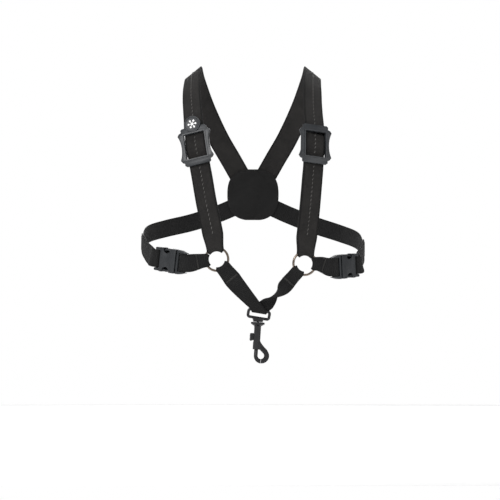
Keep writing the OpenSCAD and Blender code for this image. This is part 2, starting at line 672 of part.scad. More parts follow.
shoulder_strap(left_shoulder_track, left_slider_at);  // left_shoulder_strap
shoulder_strap(right_shoulder_track, right_slider_at);  // right_shoulder_strap
slider(left_shoulder_track, left_slider_at);  // left_slider
slider(right_shoulder_track, right_slider_at);  // right_slider
badge();  // left_badge
badge_motif();  // left_badge_motif
ring(left_ring_foot);  // left_ring
ring(right_ring_foot);  // right_ring
side_strap(left_side_track);  // left_side_strap
side_strap(right_side_track);  // right_side_strap
buckle_plug(left_buckle);  // left_buckle_plug
buckle_plug(right_buckle);  // right_buckle_plug
latch(left_buckle, 1);  // left_latch_upper
latch(left_buckle, -1);  // left_latch_lower
latch(right_buckle, -1);  // right_latch_upper
latch(right_buckle, 1);  // right_latch_lower
buckle_socket(left_buckle);  // left_buckle_socket
buckle_socket(right_buckle);  // right_buckle_socket
rear_strap(left_rear_track);  // left_rear_strap
rear_strap(right_rear_track);  // right_rear_strap
patch(0.6);  // back_patch_inner
patch(4.3);  // back_patch_outer
front_strap();
hook_eye();
swivel_pin();
hook_body();
thumb_bolt();
bolt_spring();
side_tack(left_side_track, 4.3);  // left_side_tack
side_tack(right_side_track, 4.45);  // right_side_tack
tack(left_rear_track, 76, 2.9 + narrow_top, 8.5);  // left_rear_tack
tack(right_rear_track, 76, 2.9 + narrow_top, 8.5);  // right_rear_tack
tack(left_front_track, 28, 3.3 + narrow_top, 8);  // front_left_tack
tack(right_front_track, 28, 3.3 + narrow_top, 8);  // front_right_tack
slider_tack(left_shoulder_track, left_slider_at);  // left_slider_tack
slider_tack(right_shoulder_track, right_slider_at);  // right_slider_tack
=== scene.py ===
# %% [markdown]
# # A saxophone shoulder harness
# A harness takes the weight of the saxophone off the neck. Two wide webbing straps go over the
# shoulders to a patch on the back, two narrow straps go round the ribs, and a narrow strap in
# front carries a snap hook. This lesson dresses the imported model: cloth with a real weave and
# thread, moulded plastic with rounded edges, and metal with a little wear. Everything is in metres,
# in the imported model's own frame.

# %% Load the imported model
import bisect
import json
import math

import bpy
from mathutils import Matrix, Vector


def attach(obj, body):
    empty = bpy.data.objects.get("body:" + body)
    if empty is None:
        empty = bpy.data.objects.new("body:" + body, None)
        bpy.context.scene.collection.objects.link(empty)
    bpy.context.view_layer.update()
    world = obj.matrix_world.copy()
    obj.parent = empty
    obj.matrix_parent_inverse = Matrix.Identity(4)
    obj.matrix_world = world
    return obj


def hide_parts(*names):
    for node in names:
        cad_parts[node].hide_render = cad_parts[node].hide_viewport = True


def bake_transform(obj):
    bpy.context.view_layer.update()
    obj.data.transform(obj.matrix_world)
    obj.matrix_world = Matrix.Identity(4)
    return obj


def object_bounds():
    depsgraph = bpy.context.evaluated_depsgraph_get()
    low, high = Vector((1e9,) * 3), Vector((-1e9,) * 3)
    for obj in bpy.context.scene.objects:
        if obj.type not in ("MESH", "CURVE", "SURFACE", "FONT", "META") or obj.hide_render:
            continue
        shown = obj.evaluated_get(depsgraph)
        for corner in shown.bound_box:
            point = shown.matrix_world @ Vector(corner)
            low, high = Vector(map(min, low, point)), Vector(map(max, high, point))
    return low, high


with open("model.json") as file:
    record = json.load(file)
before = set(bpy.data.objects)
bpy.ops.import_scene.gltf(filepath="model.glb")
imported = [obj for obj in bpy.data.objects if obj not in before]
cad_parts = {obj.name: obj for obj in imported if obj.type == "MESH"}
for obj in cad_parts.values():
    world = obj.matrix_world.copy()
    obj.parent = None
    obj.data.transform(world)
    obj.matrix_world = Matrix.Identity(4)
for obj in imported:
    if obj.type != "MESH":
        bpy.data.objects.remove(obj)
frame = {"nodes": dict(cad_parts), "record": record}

cad_box = [[float(c) for c in corner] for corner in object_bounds()]
nodes, bodies = frame["nodes"], frame["record"]["behaviour"]["bodies"]
body_of = {n: b for b, members in bodies.items() for n in members}
MM = 0.001
print("packed pieces:", len(nodes), "box:", cad_box)

# %% [markdown]
# ## Camera and floor
# The floor and camera come first. A near camera would enlarge the hook against the shoulders, so a
# long lens stands far away instead. The floor is a plain disc well below the hook.

# %% Camera and floor
AIM, CAMERA_AWAY, FLOOR_DROP = Vector((-0.0036, 0, -0.216)), 12, 0.09
camera_data = bpy.data.cameras.new("front_camera")
camera = bpy.data.objects.new("front_camera", camera_data)
bpy.context.scene.collection.objects.link(camera)
camera.location = AIM - Vector((0, CAMERA_AWAY, 0))
camera.rotation_euler = (math.radians(90), 0, 0)
camera_data.lens = 715
camera_data.clip_end = 50
bpy.context.scene.camera = camera

bpy.ops.object.select_all(action="DESELECT")
bpy.ops.mesh.primitive_circle_add(vertices=96, radius=2.5, fill_type="NGON",
                                  location=(0, 0, cad_box[0][2] - FLOOR_DROP))
floor = bpy.context.object
floor.name = "studio_floor"
print("camera at", tuple(camera.location), "floor at", floor.location.z)

# %% [markdown]
# ## Soft light
# Black cloth needs broad light from both sides, or its weave sinks into shadow. Small lamps would
# make hard spots on the plastic, so each lamp is a square over a metre wide. The room itself gives
# a third of full white, and only the camera sees it as pure white.


# %% Soft lights
def soft_light(name, place, aim, size, power):
    """A large square lamp at place that looks at aim."""
    lamp = bpy.data.lights.new(name, "AREA")
    lamp.size, lamp.energy = size, power
    holder = bpy.data.objects.new(name, lamp)
    bpy.context.scene.collection.objects.link(holder)
    holder.location = place
    holder.rotation_euler = (Vector(aim) - Vector(place)).to_track_quat("-Z", "Y").to_euler()


chest = (0, -0.05, -0.2)
soft_light("key_lamp", (-1.5, -2.0, 1.3), chest, 1.4, 62)
soft_light("fill_lamp", (1.9, -1.7, 0.3), chest, 1.6, 20)
soft_light("top_lamp", (0.1, 0.4, 2.2), chest, 1.4, 30)
soft_light("back_lamp", (0.3, 2.2, 0.6), chest, 1.6, 20)

ROOM_LIGHT, ROOM_SEEN = 0.35, 1.0
world = bpy.data.worlds.new("pale_room")
bpy.context.scene.world = world
world.use_nodes = True
sky, links = world.node_tree.nodes, world.node_tree.links
ray = sky.new("ShaderNodeLightPath")
glow = sky["Background"]
glow.inputs["Color"].default_value = (1, 1, 1, 1)
strength = sky.new("ShaderNodeMapRange")
strength.inputs["To Min"].default_value = ROOM_LIGHT
strength.inputs["To Max"].default_value = ROOM_SEEN
links.new(ray.outputs["Is Camera Ray"], strength.inputs["Value"])
links.new(strength.outputs["Result"], glow.inputs["Strength"])
bpy.context.scene.view_settings.view_transform = "Standard"

# %% [markdown]
# ## The form that carries the straps
# The straps lie on a smooth rounded body that isn't itself drawn. Its front, back, top and sides
# follow from one rounded-box formula, so a strap needs only a few points on it. The numbers are
# millimetres, the same route that the solids follow.

# %% The wearer's rounded form
HALF_W, HALF_D, CHEST_Z, BODY_H = 131, 110, -225, 240
SIDE_E, DEPTH_E, HEIGHT_E = 3, 2.4, 2.2


def shares(x=0, y=0, z=CHEST_Z):
    """How much of the form's reach each of the three directions uses up."""
    return (abs(x / HALF_W) ** SIDE_E, abs(y / HALF_D) ** DEPTH_E,
            abs((z - CHEST_Z) / BODY_H) ** HEIGHT_E)


def front(x, z):
    side, _, height = shares(x=x, z=z)
    return Vector((x, -HALF_D * (1 - side - height) ** (1 / DEPTH_E), z))


def back(x, z):
    p = front(x, z)
    return Vector((x, -p.y, z))


def crest(x, y):
    side, depth, _ = shares(x=x, y=y)
    return Vector((x, y, CHEST_Z + BODY_H * (1 - side - depth) ** (1 / HEIGHT_E)))


def flank(side, y, z):
    _, depth, height = shares(y=y, z=z)
    return Vector((side * HALF_W * (1 - depth - height) ** (1 / SIDE_E), y, z))


def outward(p):
    """The way straight out of the form at p."""
    def lean(v, half, e):
        return e * math.copysign(abs(v) ** (e - 1), v) / half ** e
    return Vector((lean(p.x, HALF_W, SIDE_E), lean(p.y, HALF_D, DEPTH_E),
                   lean(p.z - CHEST_Z, BODY_H, HEIGHT_E))).normalized()


print("chest point", front(0, -225), "shoulder point", crest(-71, 0))

# %% [markdown]
# ## Paths for the straps
# A strap is a flat band that bends and turns along a line. A Blender curve can carry a band, but it
# lets the band roll where it likes. Here each path also knows which way is up from the wearer, so the
# band lies flat on the form. Near a ring or a buckle it takes that piece's own way up.


# %% Smooth paths and strap frames
def ease(f):
    """A share from 0 to 1 that starts and ends gently."""
    f = max(0.0, min(1.0, f))
    return f * f * (3 - 2 * f)


def mix(a, b, f):
    return a + (b - a) * f


def hermite(a, va, b, vb, f):
    return (a * ((1 + 2 * f) * (1 - f) ** 2) + va * (f * (1 - f) ** 2)
            + b * (f * f * (3 - 2 * f)) + vb * (f * f * (f - 1)))


def smooth_path(p, steps):
    """A smooth line through the points; steps is a count, or a function of a gap's length."""
    ways = []
    for i in range(len(p)):
        a, b = max(i - 1, 0), min(i + 1, len(p) - 1)
        ways.append((p[b] - p[a]) / ((p[b] - p[i]).length + (p[i] - p[a]).length))
    line = []
    for i in range(len(p) - 1):
        d = (p[i + 1] - p[i]).length
        n = steps(d) if callable(steps) else steps
        line += [hermite(p[i], ways[i] * d, p[i + 1], ways[i + 1] * d, k / n) for k in range(n)]
    return line + [p[-1]]


class Track:
    """A strap's middle line. Each end's own way up holds for a while, then turns to the form's."""

    STEPS, HELD_START, TURN_START, HELD_END, TURN_END = 8, 18, 30, 14, 26

    def __init__(self, points, up_start, up_end):
        self.p = smooth_path(points, self.STEPS)
        self.at = [0.0]
        for a, b in zip(self.p, self.p[1:]):
            self.at.append(self.at[-1] + (b - a).length)
        self.run, self.up_start, self.up_end = self.at[-1], up_start, up_end

    def spot(self, s):
        if s <= 0:
            return self.p[0] + (self.p[1] - self.p[0]).normalized() * s
        if s >= self.run:
            return self.p[-1] + (self.p[-1] - self.p[-2]).normalized() * (s - self.run)
        i = bisect.bisect_right(self.at, s) - 1
        return self.p[i].lerp(self.p[i + 1], (s - self.at[i]) / (self.at[i + 1] - self.at[i]))

    def frame(self, s):
        """Where the track is at s: the point, the way across, the way along and the way up."""
        p = self.spot(s)
        t = (self.spot(s + 1) - self.spot(s - 1)).normalized()
        n = self.up_start.lerp(outward(p), ease((s - self.HELD_START) / self.TURN_START))
        n = self.up_end.lerp(n, ease((self.run - s - self.HELD_END) / self.TURN_END))
        w = t.cross(n).normalized()
        return p, w, t, w.cross(t)


print("a quarter of the way, eased:", round(ease(0.25), 3))

# %% [markdown]
# ## The routes
# The rings are the harness's joints: three straps leave each one. So every route starts straight
# from the middle of a ring, then passes a few points on the form. The rear straps start at a
# buckle's bar. The widths and gaps are the same as in the solids.

# %% The routes of all the straps
RING_R, WIRE_R, RING_H, GAP = 13.8, 1.4, 3.4, 0.3
WIDE_W, WIDE_T, NARROW_W, NARROW_T = 25, 1.8, 21, 1.4
SLIDER_AT = {"left": 138, "right": 143}
BUCKLE_HALF, BUCKLE_MID, SOCKET_BAR_AT, PLUG_BAR_AT = 8.5, 4.8, 29.6, 6.3
PATCH_Z, PATCH_HALF, PATCH_T = -149, 31, 1.2
sides = ("left", "right")
ring_foot = {"left": front(-43, -227), "right": front(61, -232)}


def ring_way(p, turn):
    """The way along the chest from p, turned from straight up."""
    n = outward(p)
    up = (Vector((0, 0, 1)) - n * n.z).normalized()
    a = math.radians(turn)
    return up * math.cos(a) + up.cross(n) * math.sin(a)


def straight(p, way, step=14):
    """The first three points of a route, in line."""
    return [p + way * (step * i) for i in range(3)]


def buckle_frame(side, x, z, climb):
    """Where a buckle starts on the chest, and its ways across, along and out."""
    p = front(x, z)
    n, a = outward(p), math.radians(climb)
    level = n.cross(Vector((0, 0, -1))).normalized() * side
    t = level * math.cos(a) + n.cross(level) * (math.sin(a) * side)
    return p - t * BUCKLE_HALF, t.cross(n), t, n


def over_shoulder(side, turn, chest_points):
    s = -1 if side == "left" else 1
    end = back(s * 13, -131)
    down_back = [back(s * x, z) for x, z in ((68, -16), (58, -45), (42, -80), (26, -108))]
    points = (straight(ring_foot[side], ring_way(ring_foot[side], turn))
              + [front(x, z) for x, z in chest_points] + [crest(s * 71, 0)] + down_back + [end])
    return Track(points, outward(ring_foot[side]), outward(end))


shoulder = {
    "left": over_shoulder("left", -9, [(-51.5, -178), (-56, -156), (-61, -125), (-66, -93),
                                       (-70.2, -62), (-73, -36), (-73, -16)]),
    "right": over_shoulder("right", 5, [(65.5, -184), (68.2, -156), (70.6, -122), (71.4, -90),
                                        (71.6, -62), (71.2, -38), (71, -17)]),
}
buckle = {"left": buckle_frame(-1, -94.6, -229, 8), "right": buckle_frame(1, 106, -235.5, 4)}


def to_buckle(side, turn):
    p, _, t, n = buckle[side]
    return Track(straight(ring_foot[side], ring_way(ring_foot[side], turn), 9.5)
                 + [p + t * (7 * i) for i in (-2, -1, 0)], outward(ring_foot[side]), n)


def round_ribs(side, points):
    p, _, t, n = buckle[side]
    start = [p + t * SOCKET_BAR_AT, p + t * (SOCKET_BAR_AT + 8)]
    return Track(start + points, n, outward(points[-1]))


side_track = {"left": to_buckle("left", -97), "right": to_buckle("right", 93)}
rear_track = {
    "left": round_ribs("left", [flank(-1, -48, -219), flank(-1, -22, -211), flank(-1, 12, -203),
                                flank(-1, 48, -196), back(-105, -190), back(-72, -182),
                                back(-42, -172), back(-16, -161)]),
    "right": round_ribs("right", [flank(1, -40, -227), flank(1, -16, -221), flank(1, 14, -213),
                                  flank(1, 48, -204), back(105, -196), back(72, -185),
                                  back(42, -173), back(16, -161)]),
}
for side in sides:
    print(side, "shoulder route", round(shoulder[side].run), "mm, rear route",
          round(rear_track[side].run), "mm, side route", round(side_track[side].run), "mm")

# %% [markdown]
# ## Weave and thread
# Webbing is a narrow, thick cloth: heavy threads run along it and finer ones cross them, so its
# face is a field of small ribs. A picture of cloth would blur close up, so one group works the ribs
# out from the strap's own UV map. That map is in metres, so the ribs follow every bend. The three
# cloths share the group, each with its own rib and thread.


# %% Node helpers and the weave group
def group(name, sockets_in, sockets_out):
    """An empty shader group with named sockets."""
    tree = bpy.data.node_groups.new(name, "ShaderNodeTree")
    for label, kind, value in sockets_in:
        socket = tree.interface.new_socket(name=label, in_out="INPUT", socket_type=kind)
        if value is not None:
            socket.default_value = value
    for label, kind in sockets_out:
        tree.interface.new_socket(name=label, in_out="OUTPUT", socket_type=kind)
    return tree, tree.nodes.new("NodeGroupInput"), tree.nodes.new("NodeGroupOutput")


class Wires:
    """Short ways to add nodes to a tree."""

    def __init__(self, tree):
        self.tree = tree

    def plug(self, socket, value):
        if isinstance(value, bpy.types.NodeSocket):
            self.tree.links.new(value, socket)
        else:
            socket.default_value = value

    def math(self, op, a, b=0.0):
        n = self.tree.nodes.new("ShaderNodeMath")
        n.operation = op
        for socket, value in zip(n.inputs, (a, b)):
            self.plug(socket, value)
        return n.outputs[0]

    def noise(self, vector, scale, detail=3.0, roughness=0.6):
        n = self.tree.nodes.new("ShaderNodeTexNoise")
        self.plug(n.inputs["Vector"], vector)
        n.inputs["Scale"].default_value = scale
        n.inputs["Detail"].default_value = detail
        n.inputs["Roughness"].default_value = roughness
        return n.outputs["Fac"]

    def ramp(self, value, low, high, to_low=0.0, to_high=1.0):
        n = self.tree.nodes.new("ShaderNodeMapRange")
        self.plug(n.inputs["Value"], value)
        for label, v in zip(("From Min", "From Max", "To Min", "To Max"), (low, high, to_low, to_high)):
            self.plug(n.inputs[label], v)
        return n.outputs["Result"]

    def blend(self, amount, a, b):
        n = self.tree.nodes.new("ShaderNodeMix")
        n.data_type = "RGBA"
        self.plug(n.inputs["Factor"], amount)
        self.plug(n.inputs["A"], a)
        self.plug(n.inputs["B"], b)
        return n.outputs["Result"]

    def bump(self, height, strength, distance):
        n = self.tree.nodes.new("ShaderNodeBump")
        n.inputs["Strength"].default_value = strength
        n.inputs["Distance"].default_value = distance
        self.plug(n.inputs["Height"], height)
        return n.outputs["Normal"]


weave, weave_in, weave_out = group(
    "webbing_weave",
    [("UV", "NodeSocketVector", None), ("Rib", "NodeSocketFloat", 0.0013),
     ("Thread", "NodeSocketFloat", 0.0011)],
    [("Height", "NodeSocketFloat"), ("Valley Shade", "NodeSocketFloat"), ("Uneven", "NodeSocketFloat")])
w = Wires(weave)
apart = weave.nodes.new("ShaderNodeSeparateXYZ")
weave.links.new(weave_in.outputs["UV"], apart.inputs[0])
ribs = w.math("DIVIDE", apart.outputs["Y"], weave_in.outputs["Rib"])
threads = w.math("DIVIDE", apart.outputs["X"], weave_in.outputs["Thread"])
odd_row = w.math("MODULO", w.math("FLOOR", w.math("ADD", ribs, 1000.0)), 2.0)
shifted = w.math("ADD", threads, w.math("MULTIPLY", odd_row, 0.5))
thread_round = w.math("ABSOLUTE", w.math("SINE", w.math("MULTIPLY", shifted, math.pi)))
rib_round = w.math("ABSOLUTE", w.math("SINE", w.math("MULTIPLY", ribs, math.pi)))
thread_height = w.ramp(thread_round, 0.0, 0.8, 0.45, 1.0)
cell = w.math("MULTIPLY", w.math("POWER", rib_round, 0.6), thread_height)
weave.links.new(cell, weave_out.inputs["Height"])
# Valley Shade is a painted shade mask: it is 1 in the hollows between the ribs, where shade falls.
weave.links.new(w.ramp(cell, 0.15, 0.75, 1.0, 0.0), weave_out.inputs["Valley Shade"])
weave.links.new(w.noise(weave_in.outputs["UV"], 900.0, 2.0), weave_out.inputs["Uneven"])
print("weave group made, with", len(weave.nodes), "nodes")

# %% [markdown]
# ## Grain and wear
# Moulded plastic and metal are never quite even: the mould leaves a fine grain, hands leave smudges,
# and rubbing leaves streaks. One group gives all three as separate masks, so that each material can
# use more or less of them.

# %% The grain group
grain, grain_in, grain_out = group(
    "moulded_grain", [("Vector", "NodeSocketVector", None)],
    [("Height", "NodeSocketFloat"), ("Smudge", "NodeSocketFloat"), ("Scratch", "NodeSocketFloat")])
w = Wires(grain)
grain.links.new(w.noise(grain_in.outputs["Vector"], 2600.0, 2.0, 0.5), grain_out.inputs["Height"])
grain.links.new(w.noise(grain_in.outputs["Vector"], 55.0, 4.0), grain_out.inputs["Smudge"])
stretch = grain.nodes.new("ShaderNodeMapping")
stretch.inputs["Scale"].default_value = (1.0, 1.0, 14.0)
stretch.inputs["Rotation"].default_value = (0.4, 0.7, 0.2)
grain.links.new(grain_in.outputs["Vector"], stretch.inputs["Vector"])
streaks = w.noise(stretch.outputs["Vector"], 130.0, 5.0, 0.7)
grain.links.new(w.ramp(streaks, 0.63, 0.72), grain_out.inputs["Scratch"])
print("grain group made, with", len(grain.nodes), "nodes")

# %% [markdown]
# ## Cloth
# The shoulder webbing is a soft charcoal, with painted shade along its edges where they turn away
# from the light. The narrow webbing is plain black with coarser ribs, and the patch is finer. Real
# cloth drinks light, so the shine is kept low, and the valleys between the ribs get painted shade
# that makes them nearly black.


# %% The webbing materials
def material(name):
    m = bpy.data.materials.new(name)
    m.use_nodes = True
    return m, Wires(m.node_tree), m.node_tree.nodes["Principled BSDF"]


def webbing_material(name, dark, pale, rib, thread, half_width, relief, edge):
    """Cloth from the strap's UV map: ribs, uneven dye, painted shade in valleys and on edges, soft sheen.
    """
    m, w, skin = material(name)
    uv = m.node_tree.nodes.new("ShaderNodeUVMap")
    uv.uv_map = "UVMap"
    cloth = m.node_tree.nodes.new("ShaderNodeGroup")
    cloth.node_tree = weave
    cloth.inputs["Rib"].default_value, cloth.inputs["Thread"].default_value = rib, thread
    w.plug(cloth.inputs["UV"], uv.outputs["UV"])
    spread = m.node_tree.nodes.new("ShaderNodeSeparateXYZ")
    w.plug(spread.inputs[0], uv.outputs["UV"])
    from_middle = w.math("ABSOLUTE", spread.outputs["X"])
    # rim is a painted shade mask: it is 1 along the strap's edges.
    rim = w.ramp(from_middle, half_width - 0.0026, half_width - 0.0012)
    dye = w.noise(uv.outputs["UV"], 38.0, 4.0)
    base = w.blend(w.ramp(dye, 0.3, 0.7), dark, pale)
    # Painted shade: the hollows between the ribs are darkened nearly to black.
    base = w.blend(w.math("MULTIPLY", cloth.outputs["Valley Shade"], 0.75), base, (0.002, 0.002, 0.0022, 1))
    # Painted shade: the strap's edges are darkened where they turn away from the light; edge sets how
    # much.
    base = w.blend(w.math("MULTIPLY", rim, edge), base, (0.003, 0.003, 0.003, 1))
    fibre = w.ramp(cloth.outputs["Uneven"], 0.62, 0.8, 0.0, 0.35)
    base = w.blend(fibre, base, (0.09, 0.086, 0.083, 1))
    w.plug(skin.inputs["Base Color"], base)
    w.plug(skin.inputs["Roughness"], w.ramp(cloth.outputs["Uneven"], 0.2, 0.8, 0.72, 0.92))
    height = w.math("ADD", cloth.outputs["Height"], w.math("MULTIPLY", cloth.outputs["Uneven"], 0.5))
    w.plug(skin.inputs["Normal"], w.bump(height, relief, 0.0006))
    skin.inputs["Sheen Weight"].default_value = 0.03
    skin.inputs["Sheen Roughness"].default_value = 0.5
    skin.inputs["Specular IOR Level"].default_value = 0.18
    return m


# edge is how much painted shade darkens each strap's edges.
wide_cloth = webbing_material(
    "charcoal_webbing", (0.013, 0.0122, 0.0118, 1), (0.027, 0.0250, 0.0238, 1),
    rib=0.0011, thread=0.0010, half_width=WIDE_W / 2 * MM, relief=0.7, edge=0.85)
narrow_cloth = webbing_material(
    "black_webbing", (0.006, 0.006, 0.0063, 1), (0.013, 0.0128, 0.0128, 1),
    rib=0.0021, thread=0.0013, half_width=NARROW_W / 2 * MM, relief=0.9, edge=0.35)
patch_cloth = webbing_material(
    "patch_cloth", (0.008, 0.0079, 0.008, 1), (0.016, 0.0156, 0.0156, 1),
    rib=0.0009, thread=0.0009, half_width=PATCH_HALF * MM, relief=0.7, edge=0.0)
print("cloths:", wide_cloth.name, narrow_cloth.name, patch_cloth.name)

# %% [markdown]
# ## Plastic, metal and thread
# The sliders and buckles are moulded plastic with a fine grain. The rings are plated steel, and the
# hook is black metal that has rubbed a little paler. All of them come from one function, because
# they differ in colour, shine and wear and not in kind.


# %% The thread, plastic and metal materials
def solid_material(name, base, second, rough, metallic=0.0, relief=0.12,
                   scratch=(0.1, 0.1, 0.1, 1), scratch_share=0.3):
    """Grained plastic or metal from object coordinates: smudges, fine grain and rubbed streaks."""
    m, w, skin = material(name)
    place = m.node_tree.nodes.new("ShaderNodeTexCoord")
    fine = m.node_tree.nodes.new("ShaderNodeGroup")
    fine.node_tree = grain
    w.plug(fine.inputs["Vector"], place.outputs["Object"])
    colour = w.blend(w.ramp(fine.outputs["Smudge"], 0.35, 0.65), base, second)
    rubbed = w.math("MULTIPLY", fine.outputs["Scratch"], scratch_share)
    w.plug(skin.inputs["Base Color"], w.blend(rubbed, colour, scratch))
    duller = w.ramp(fine.outputs["Smudge"], 0.3, 0.7, rough - 0.06, rough + 0.08)
    w.plug(skin.inputs["Roughness"], duller)
    w.plug(skin.inputs["Normal"], w.bump(fine.outputs["Height"], relief, 0.0002))
    skin.inputs["Metallic"].default_value = metallic
    skin.inputs["Specular IOR Level"].default_value = 0.35
    return m


slider_plastic = solid_material(
    "slider_plastic", (0.017, 0.0188, 0.0215, 1), (0.027, 0.0295, 0.033, 1), 0.4,
    scratch=(0.09, 0.095, 0.10, 1))
buckle_plastic = solid_material(
    "buckle_plastic", (0.014, 0.0155, 0.0175, 1), (0.022, 0.024, 0.027, 1), 0.42,
    scratch=(0.08, 0.085, 0.09, 1))
motif_paint = solid_material(
    "motif_paint", (0.82, 0.82, 0.81, 1), (0.74, 0.74, 0.73, 1), 0.4, scratch=(0.5, 0.5, 0.5, 1))
ring_steel = solid_material(
    "ring_steel", (0.23, 0.19, 0.155, 1), (0.13, 0.105, 0.085, 1), 0.24, metallic=1.0, relief=0.05,
    scratch=(0.5, 0.46, 0.4, 1), scratch_share=0.5)
hook_metal = solid_material(
    "hook_metal", (0.010, 0.010, 0.0112, 1), (0.018, 0.018, 0.0195, 1), 0.36, metallic=0.25,
    relief=0.1, scratch_share=0.4)
pin_steel = solid_material(
    "pin_steel", (0.45, 0.45, 0.45, 1), (0.36, 0.36, 0.36, 1), 0.3, metallic=1.0)
black_thread = solid_material(
    "black_thread", (0.014, 0.0135, 0.013, 1), (0.030, 0.0285, 0.027, 1), 0.6, relief=0.3,
    scratch=(0.06, 0.06, 0.06, 1))
# Painted highlight: this thread is made grey so that the stitches show as the small glints they catch on
# the dark strap.
painted_highlight_thread = solid_material(
    "painted_highlight_thread", (0.10, 0.096, 0.092, 1), (0.17, 0.165, 0.158, 1), 0.55, relief=0.3,
    scratch=(0.2, 0.2, 0.2, 1))
floor_paint = solid_material(
    "pale_floor", (0.93, 0.93, 0.93, 1), (0.90, 0.90, 0.90, 1), 0.8, scratch=(0.9, 0.9, 0.9, 1))
floor.data.materials.append(floor_paint)
print("the floor's finish has", len(floor_paint.node_tree.nodes), "nodes of its own")

# %% [markdown]
# ## Making a strap
# Webbing bends along its length and hardly at all across it, so a strap is described by rows: short
# lines of points from edge to edge, at a distance along the route and a height over the form. Near
# a ring the rows narrow and fan round the ring's wire, as webbing does when a load gathers it.

# %% Rows across a strap
COLS, FAN_FROM = 10, RING_R + 2
WIDE_PINCH, NARROW_PINCH, FOLD = 0.81, 0.78, 1


def row(track, s, h, half, pinch=0, reach=16):
    """One row; pinch is the share of the width left at a ring, and reach how far it is felt."""
    p, across, along, up = track.frame(s)
    bend = 1 - ease((s - FAN_FROM) / reach) if pinch else 0
    points = []
    for j in range(COLS + 1):
        x = mix(-half, half, j / COLS) * mix(1, pinch, bend)
        pulled = s * (1 - math.sqrt(1 - (x / max(RING_R, s)) ** 2)) * bend if pinch else 0
        if pinch:
            x *= min(max(s, 0) / RING_R, 1)
        points.append(p + across * x - along * pulled + up * h)
    return points


def finer(profile, step=2.2):
    """More stations on a strap's profile of distance along and height."""
    line = [Vector((s, h, 0)) for s, h in profile]
    return [(v.x, v.y) for v in smooth_path(line, lambda d: max(1, math.ceil(d / step)))]


def oval(centre, rx, ry, start, end, n=12):
    turns = [math.radians(mix(start, end, i / n)) for i in range(n + 1)]
    return [(centre[0] + rx * math.cos(a), centre[1] + ry * math.sin(a)) for a in turns]


def arc(centre, r, start, end):
    return oval(centre, r, r, start, end)


def ring_fold(thickness, start, end):
    """The fold round a ring's wire, a little longer than it is tall."""
    wrap = WIRE_R + GAP + thickness / 2
    return oval((RING_R, RING_H), wrap + FOLD, wrap, start, end)


print("wide webbing gathered at a ring:", round(WIDE_W * WIDE_PINCH, 1), "mm")

# %% [markdown]
# ## Cloth from the rows
# A strap starts as a flat grid, and each row of the grid is moved to its place. The UV map keeps the
# cloth's flat size, so the weave isn't squeezed where the strap bends. Solidify then gives it the
# thickness of webbing, and a small bevel rounds the woven edge.

# %% Straps and their declared sizes
EDGE_ROUND = 0.32


def webbing(name, rows, thickness, width, cloth):
    """A strap from its rows of points, in millimetres."""
    n, m = len(rows), len(rows[0])
    bpy.ops.object.select_all(action="DESELECT")
    bpy.ops.mesh.primitive_grid_add(x_subdivisions=m - 1, y_subdivisions=n - 1, size=1)
    strap = bpy.context.object
    strap.name = strap.data.name = name
    centre_line = [r[m // 2] for r in rows]
    along = [0.0]
    for a, b in zip(centre_line, centre_line[1:]):
        along.append(along[-1] + (b - a).length * MM)
    place = [(round((v.co.y + 0.5) * (n - 1)), round((v.co.x + 0.5) * (m - 1)))
             for v in strap.data.vertices]
    uv = strap.data.uv_layers.active or strap.data.uv_layers.new(name="UVMap")
    uv.name = "UVMap"
    for loop in strap.data.loops:
        k, j = place[loop.vertex_index]
        uv.data[loop.index].uv = ((j / (m - 1) - 0.5) * width * MM, along[k])
    for v, (k, j) in zip(strap.data.vertices, place):
        v.co = rows[k][j] * MM
    finish_cloth(strap, thickness, cloth)
    strap["flat"] = [width * MM, along[-1]]
    return strap


def finish_cloth(piece, thickness, cloth):
    wall = piece.modifiers.new("wall", "SOLIDIFY")
    wall.thickness, wall.offset, wall.use_even_offset = thickness * MM, 0, True
    bpy.ops.object.modifier_apply(modifier=wall.name)
    edge = piece.modifiers.new("woven_edge", "BEVEL")
    edge.width, edge.segments, edge.limit_method = EDGE_ROUND * MM, 2, "ANGLE"
    edge.angle_limit = math.radians(60)
    bpy.ops.object.modifier_apply(modifier=edge.name)
    bpy.ops.object.shade_smooth_by_angle(angle=math.radians(50))
    piece.data.materials.append(cloth)


print("woven edges rounded by", EDGE_ROUND, "mm")

# %% [markdown]
# ## Shoulder straps
# Each is one length of 25 mm webbing: from the patch over the shoulder, up through the slider and
# over its bulge, down round the ring, back up behind itself, and round the slider's bar. Because the
# slider moves, it is cut where the slider's bars hide the joins: the part inside rides with the
# slider, and the parts above and below stay where they are made.


# %% Shoulder straps
BLEND_FAR, UPPER_NEAR, LOWER_NEAR = 74, 26, 24


def shoulder_stations(side):
    """The whole strap, as distances along its route and heights over the form."""
    track, at = shoulder[side], SLIDER_AT[side]
    through = [(-58, 1.2), (-40, 2.4), (-26, 4.8), (-16, 5.1), (-8, 7.0), (0, 7.8),
               (8, 7.0), (16, 5.1), (26, 4.9), (40, 3.9), (60, 3.3)]
    behind = [(60, 1.1), (40, 1.5), (26, 3.0), (15, 3.15), (7, 4.9), (2.5, 5.9)]
    first = [(mix(track.run, at + 66, i / 28), mix(2.4, 1.2, ease((i - 3) / 3))) for i in range(29)]
    down = [(at - x, h) for x, h in through] + [(mix(at - 60, 34, i / 4), 3.3) for i in range(1, 5)]
    loop = [(29, 3.3), (25, 3.8), (21, 4.8)] + ring_fold(WIDE_T, 90, 270)
    up = [(20, 1.0), (26, 1.0), (34, 1.1)] + [(mix(34, at - 66, i / 4), 1.1) for i in range(1, 5)]
    up += [(at - x, h) for x, h in behind]
    bar = [(at - x, h) for x, h in arc((-2.5, 3.5), 2.4, 90, 270)]
    tail = [(at - x, 1.1) for x in (4, 13, 14.5, 16, 18)]
    return finer(first + down + loop + up + bar + tail)


